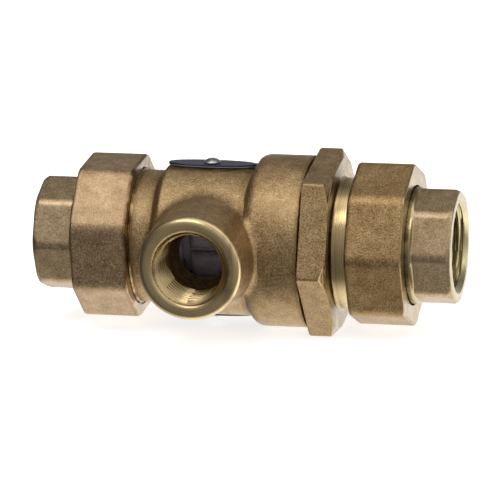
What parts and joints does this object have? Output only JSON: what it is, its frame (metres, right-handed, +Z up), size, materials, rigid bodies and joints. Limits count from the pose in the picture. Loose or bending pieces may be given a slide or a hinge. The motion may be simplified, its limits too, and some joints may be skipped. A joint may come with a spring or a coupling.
{
  "type": "backflow preventer",
  "caption": "Inline dual check valve with an atmospheric vent, cast bronze body, hexagonal end and octagonal union nuts with threaded tailpieces.",
  "frame": {"origin": "centre of the inlet tailpiece's end face, where the supply pipe screws in", "axes": "+X along the flow from inlet to outlet, +Z up with the identification plates above and below, vent towards -Y"},
  "size_m": [0.1265, 0.0677, 0.0532],
  "materials": {
    "cast_bronze": "sand-cast bronze, fine grain, tan brown",
    "cast_brass": "tumbled brass, khaki",
    "machined_brass": "turned, bright",
    "black_rubber": "moulded, matte",
    "grey_acetal": "moulded, satin",
    "stainless_steel": "drawn wire and formed sheet",
    "navy_plate": "dark enamel on thin sheet, bare edge"
  },
  "bodies": {
    "body": {"main_body": "cast_bronze", "strainer_screen": "stainless_steel", "diaphragm": "black_rubber", "vent_seat_sleeve": "grey_acetal", "vent_sleeve_oring": "black_rubber", "second_check_seat": "machined_brass", "second_check_oring": "black_rubber", "second_check_cage": "grey_acetal", "second_check_spring": "stainless_steel", "top_id_plate": "navy_plate", "top_id_rivet": "stainless_steel", "bottom_id_plate": "navy_plate", "bottom_id_rivet": "stainless_steel"},
    "first_check_hub": {"first_check_seat": "machined_brass", "first_check_cage": "grey_acetal", "first_check_spring": "stainless_steel"},
    "first_check_poppet": {"first_check_disc_holder": "grey_acetal", "first_check_disc": "black_rubber", "first_check_disc_screw": "stainless_steel"},
    "second_check_poppet": {"second_check_disc_holder": "grey_acetal", "second_check_disc": "black_rubber", "second_check_disc_screw": "stainless_steel"},
    "inlet_washer": {"inlet_union_gasket": "black_rubber"},
    "inlet_nut": {"inlet_union_nut": "cast_bronze"},
    "inlet_tail": {"inlet_tailpiece": "cast_brass"},
    "cap_washer": {"cap_oring": "black_rubber"},
    "cap": {"outlet_cap": "cast_bronze"},
    "outlet_washer": {"outlet_union_gasket": "black_rubber"},
    "outlet_nut": {"outlet_union_nut": "cast_bronze"},
    "outlet_tail": {"outlet_tailpiece": "cast_brass"}
  },
  "joints": [
    {"name": "diaphragm_stroke", "type": "slide", "parent": "body", "child": "first_check_hub", "axis": [1, 0, 0], "range_m": [0, 0.0015], "stiffness_N_per_m": 1500, "deforming": ["diaphragm"]},
    {"name": "first_check_lift", "type": "slide", "parent": "first_check_hub", "child": "first_check_poppet", "axis": [1, 0, 0], "range_m": [0, 0.0045], "stiffness_N_per_m": 300, "springref_m": -0.003, "deforming": ["first_check_spring"]},
    {"name": "second_check_lift", "type": "slide", "parent": "body", "child": "second_check_poppet", "axis": [1, 0, 0], "range_m": [0, 0.0045], "stiffness_N_per_m": 300, "springref_m": -0.003, "deforming": ["second_check_spring"]},
    {"name": "inlet_union_draw", "type": "slide", "parent": "body", "child": "inlet_washer", "axis": [-1, 0, 0], "range_m": [0, 0.0087]},
    {"name": "inlet_nut_turn", "type": "hinge", "parent": "inlet_washer", "child": "inlet_nut", "pos_m": [0, 0, 0], "axis": [-1, 0, 0], "range_deg": [0, 1727]},
    {"name": "inlet_tail_swivel", "type": "hinge", "parent": "inlet_washer", "child": "inlet_tail", "pos_m": [0, 0, 0], "axis": [-1, 0, 0], "continuous": true},
    {"name": "cap_draw", "type": "slide", "parent": "body", "child": "cap_washer", "axis": [1, 0, 0], "range_m": [0, 0.0101]},
    {"name": "cap_turn", "type": "hinge", "parent": "cap_washer", "child": "cap", "pos_m": [0.0827, 0, 0], "axis": [1, 0, 0], "range_deg": [0, 2291]},
    {"name": "outlet_union_draw", "type": "slide", "parent": "cap", "child": "outlet_washer", "axis": [1, 0, 0], "range_m": [0, 0.0087]},
    {"name": "outlet_nut_turn", "type": "hinge", "parent": "outlet_washer", "child": "outlet_nut", "pos_m": [0.1265, 0, 0], "axis": [1, 0, 0], "range_deg": [0, 1727]},
    {"name": "outlet_tail_swivel", "type": "hinge", "parent": "outlet_washer", "child": "outlet_tail", "pos_m": [0.1265, 0, 0], "axis": [1, 0, 0], "continuous": true}
  ],
  "couplings": [
    {"joint": "inlet_nut_turn", "follows": "inlet_union_draw", "rad_per_m": 3463.2},
    {"joint": "cap_turn", "follows": "cap_draw", "rad_per_m": 3957.9},
    {"joint": "outlet_nut_turn", "follows": "outlet_union_draw", "rad_per_m": 3463.2}
  ]
}
